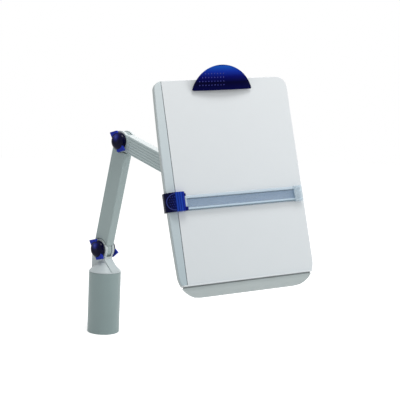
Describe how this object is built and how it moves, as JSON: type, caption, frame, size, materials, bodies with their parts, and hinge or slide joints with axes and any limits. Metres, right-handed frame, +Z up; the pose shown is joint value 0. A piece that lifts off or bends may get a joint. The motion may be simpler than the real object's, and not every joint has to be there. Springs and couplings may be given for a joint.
{
  "type": "copy holder with drawer",
  "caption": "Document holder on a jointed arm: post column, wing-knob joints, tilting board with spring clip, sliding line guide and pull-out drawer.",
  "frame": {"origin": "centre of the column's open lower end, on the post's axis", "axes": "+Z up along the column, -Y the way the board faces, +X to the board's right seen from its front"},
  "size_m": [0.2802, 0.3443, 0.4693],
  "materials": {
    "arm_grey": "fine matt moulded grey",
    "cap_grey": "matt light grey",
    "board_grey": "satin pale grey",
    "housing_grey": "matt moulded grey",
    "tray_grey": "satin grey",
    "navy_blue": "glossy dark blue",
    "steel": "zinc plated",
    "brass": "turned",
    "bush_black": "matt moulded black",
    "washer_white": "waxy white",
    "fibre_brown": "pressed fibre",
    "grip_rubber": "soft matt",
    "clear_guide": "clear, faintly blue",
    "clear_cap": "clear"
  },
  "bodies": {
    "column": {"column_tube": "arm_grey", "column_bush": "bush_black", "bearing_plate": "bush_black", "friction_disc": "fibre_brown"},
    "cap": {"swivel_cap": "cap_grey", "cap_insert": "brass", "swivel_bolt": "steel", "swivel_spring_washer": "steel", "shoulder_bolt": "steel", "shoulder_back_knob": "navy_blue", "shoulder_washers": "washer_white"},
    "shoulder_knob": {"shoulder_knob": "navy_blue", "shoulder_nut": "steel"},
    "lower_arm": {"lower_arm": "arm_grey", "lower_arm_cover": "arm_grey"},
    "upper_arm": {"upper_arm": "arm_grey", "upper_arm_cover": "arm_grey", "elbow_bolt": "steel", "elbow_back_knob": "navy_blue", "elbow_washers": "washer_white", "wrist_bolt": "steel", "wrist_back_knob": "navy_blue", "wrist_washers": "washer_white"},
    "elbow_knob": {"elbow_knob": "navy_blue", "elbow_nut": "steel"},
    "wrist_knob": {"wrist_knob": "navy_blue", "wrist_nut": "steel"},
    "head": {"head_block": "arm_grey", "swivel_pin": "steel", "swivel_clip": "steel", "swivel_washers": "washer_white"},
    "hub": {"swivel_hub": "arm_grey", "turntable_washer": "washer_white", "turntable_bolt": "steel"},
    "board": {"pivot_boss": "arm_grey", "boss_screws": "steel", "turntable_spring": "steel", "front_plate": "board_grey", "side_track": "board_grey", "paper_ledge": "board_grey", "front_frame": "housing_grey", "back_cover": "housing_grey", "cover_screws": "steel", "drawer_runners": "tray_grey", "clip_bracket": "housing_grey", "clip_pin": "steel"},
    "drawer": {"drawer_tray": "tray_grey", "drawer_front": "housing_grey", "drawer_screws": "steel"},
    "line_guide": {"guide_slider": "navy_blue", "guide_foot": "navy_blue", "line_guide": "clear_guide", "guide_end_cap": "clear_cap"},
    "clip": {"clip_plate": "navy_blue", "clip_grip": "grip_rubber"}
  },
  "joints": [
    {"name": "cap_swivel", "type": "hinge", "parent": "column", "child": "cap", "pos_m": [0, 0, 0.104], "axis": [0, 0, 1], "continuous": true},
    {"name": "shoulder", "type": "hinge", "parent": "cap", "child": "lower_arm", "pos_m": [-0.00337, 0.00585, 0.147], "axis": [0.866, 0.5, 0], "range_deg": [-45, 45]},
    {"name": "shoulder_knob_turn", "type": "hinge", "parent": "cap", "child": "shoulder_knob", "pos_m": [-0.0129, 0.00035, 0.147], "axis": [-0.866, -0.5, 0], "range_deg": [0, 180]},
    {"name": "elbow", "type": "hinge", "parent": "lower_arm", "child": "upper_arm", "pos_m": [0.01823, -0.03158, 0.33828], "axis": [-0.866, -0.5, 0], "range_deg": [-6, 60]},
    {"name": "elbow_knob_turn", "type": "hinge", "parent": "upper_arm", "child": "elbow_knob", "pos_m": [0.0087, -0.03708, 0.33828], "axis": [-0.866, -0.5, 0], "range_deg": [0, 180]},
    {"name": "wrist", "type": "hinge", "parent": "upper_arm", "child": "head", "pos_m": [0.1041, -0.18031, 0.28357], "axis": [-0.866, -0.5, 0], "range_deg": [-45, 45]},
    {"name": "wrist_knob_turn", "type": "hinge", "parent": "upper_arm", "child": "wrist_knob", "pos_m": [0.09458, -0.18581, 0.28357], "axis": [-0.866, -0.5, 0], "range_deg": [0, 180]},
    {"name": "head_swivel", "type": "hinge", "parent": "head", "child": "hub", "pos_m": [0.12117, -0.20987, 0.29501], "axis": [-0.159, 0.2754, 0.9481], "range_deg": [-30, 88]},
    {"name": "board_roll", "type": "hinge", "parent": "hub", "child": "board", "pos_m": [0.12118, -0.231, 0.30115], "axis": [0.0006, -0.9603, 0.279], "range_deg": [-90, 90]},
    {"name": "drawer_slide", "type": "slide", "parent": "board", "child": "drawer", "axis": [0.0866, -0.2779, -0.9567], "range_m": [0, 0.12]},
    {"name": "line_guide_slide", "type": "slide", "parent": "board", "child": "line_guide", "axis": [-0.0866, 0.2779, 0.9567], "range_m": [-0.1, 0.15]},
    {"name": "clip_hinge", "type": "hinge", "parent": "board", "child": "clip", "pos_m": [0.11554, -0.21621, 0.45241], "axis": [-0.9962, -0.0248, -0.083], "range_deg": [0, 25], "stiffness_Nm_per_rad": 0.3, "springref_deg": -17.19}
  ]
}
